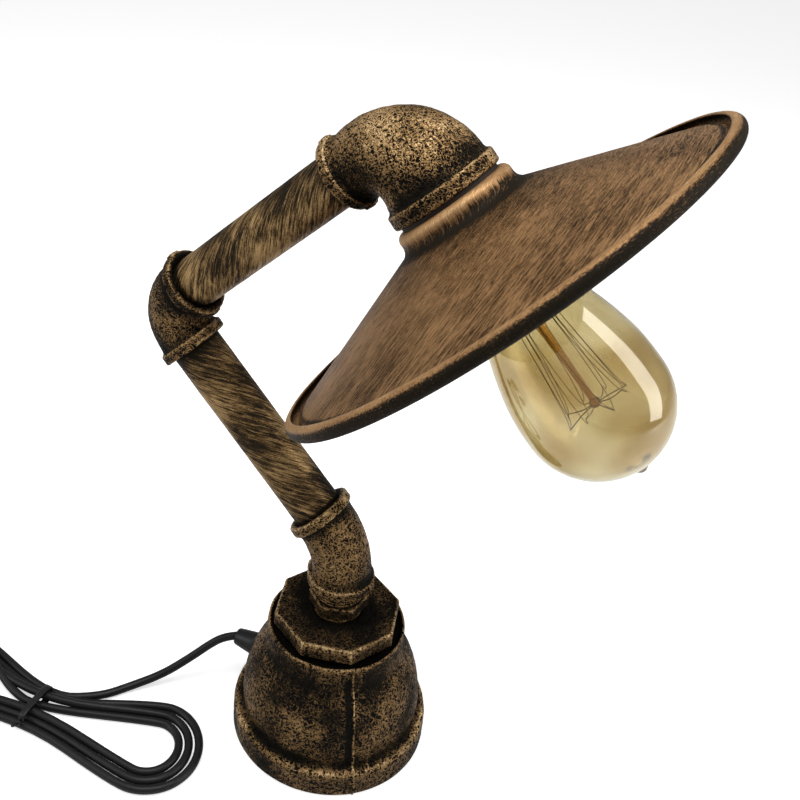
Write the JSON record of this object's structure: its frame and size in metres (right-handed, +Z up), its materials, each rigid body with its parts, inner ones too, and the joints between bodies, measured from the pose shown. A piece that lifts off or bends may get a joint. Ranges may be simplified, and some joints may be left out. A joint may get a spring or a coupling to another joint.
{
  "type": "industrial pipe table lamp",
  "caption": "Table lamp of threaded pipe and elbows on a bell shaped socket foot, with a wide shallow shade that swivels over a pear-shaped filament bulb.",
  "frame": {"origin": "centre of the foot's underside, on the table", "axes": "+Z up, the pipes lie in the XZ plane, the lower pipe leans towards -X and the shade opens towards +X and down"},
  "size_m": [0.4021, 0.3316, 0.3941],
  "materials": {
    "cast_finish": "malleable iron casting, black base coat brushed with antique copper",
    "thread_finish": "iron nipple, black with copper edges",
    "pipe_finish": "steel pipe, black coat swirled with antique copper",
    "shade_finish": "spun steel, brushed antique copper over black",
    "cover_steel": "black sheet steel",
    "felt": "black felt",
    "holder_plastic": "black phenolic",
    "brass_shell": "plain brass",
    "fibre": "dark vulcanised fibre",
    "amber_glass": "amber tinted glass",
    "bulb_brass": "brass screw cap",
    "cap_glass": "black cap insulator",
    "stem_glass": "clear stem glass",
    "filament_wire": "dark carbon filament",
    "hook_wire": "nickel support wire",
    "inner_cable": "round black cable",
    "cord_jacket": "black flexible cord",
    "hank_jacket": "wound black cord, with the air between its turns",
    "tie_plastic": "black tie",
    "relief_rubber": "matte black moulded relief",
    "switch_plastic": "black moulded switch",
    "plug_plastic": "black moulded plug",
    "pin_metal": "plated brass pins"
  },
  "bodies": {
    "root": {"foot_socket": "cast_finish", "base_cover": "cover_steel", "felt_pad": "felt", "octagon_bushing": "cast_finish", "hex_nipple": "thread_finish", "foot_cable": "inner_cable", "strain_relief": "relief_rubber", "relief_nut": "relief_rubber", "mains_cord": "cord_jacket", "cord_hank": "hank_jacket", "cord_tie": "tie_plastic", "cord_tail": "cord_jacket", "plug_lead": "cord_jacket", "switch_lower_shell": "switch_plastic", "switch_upper_shell": "switch_plastic", "plug_body": "plug_plastic", "plug_pins": "pin_metal"},
    "lower_arm": {"lower_elbow": "cast_finish", "lower_pipe": "pipe_finish", "lower_cable": "inner_cable"},
    "upper_arm": {"middle_elbow": "cast_finish", "upper_pipe": "pipe_finish", "upper_cable": "inner_cable"},
    "head": {"head_elbow": "cast_finish", "head_cable": "inner_cable", "lampholder": "holder_plastic", "screw_shell": "brass_shell", "centre_contact": "brass_shell", "shade_washer": "fibre", "shade_ring": "holder_plastic", "shade": "shade_finish"},
    "bulb": {"bulb_glass": "amber_glass", "bulb_cap": "bulb_brass", "cap_insulator": "cap_glass", "cap_contact": "bulb_brass", "bulb_stem": "stem_glass", "bulb_filament": "filament_wire", "filament_hooks": "hook_wire"},
    "rocker": {"switch_rocker": "switch_plastic"}
  },
  "joints": [
    {"name": "foot_swivel", "type": "hinge", "parent": "root", "child": "lower_arm", "pos_m": [0, 0, 0.1288], "axis": [0, 0, 1], "range_deg": [-90, 90]},
    {"name": "elbow_swivel", "type": "hinge", "parent": "lower_arm", "child": "upper_arm", "pos_m": [-0.1125, 0, 0.2413], "axis": [-0.7071, 0, 0.7071], "range_deg": [-40, 40]},
    {"name": "head_swivel", "type": "hinge", "parent": "upper_arm", "child": "head", "pos_m": [0.00969, 0, 0.36349], "axis": [0.7071, 0, 0.7071], "range_deg": [-90, 90]},
    {"name": "bulb_unscrew", "type": "slide", "parent": "head", "child": "bulb", "axis": [0.7071, 0, -0.7071], "range_m": [0, 0.026]},
    {"name": "rocker_tilt", "type": "hinge", "parent": "root", "child": "rocker", "pos_m": [-0.2416, -0.149, 0.014], "axis": [-1, 0, 0], "range_deg": [0, 16]}
  ]
}
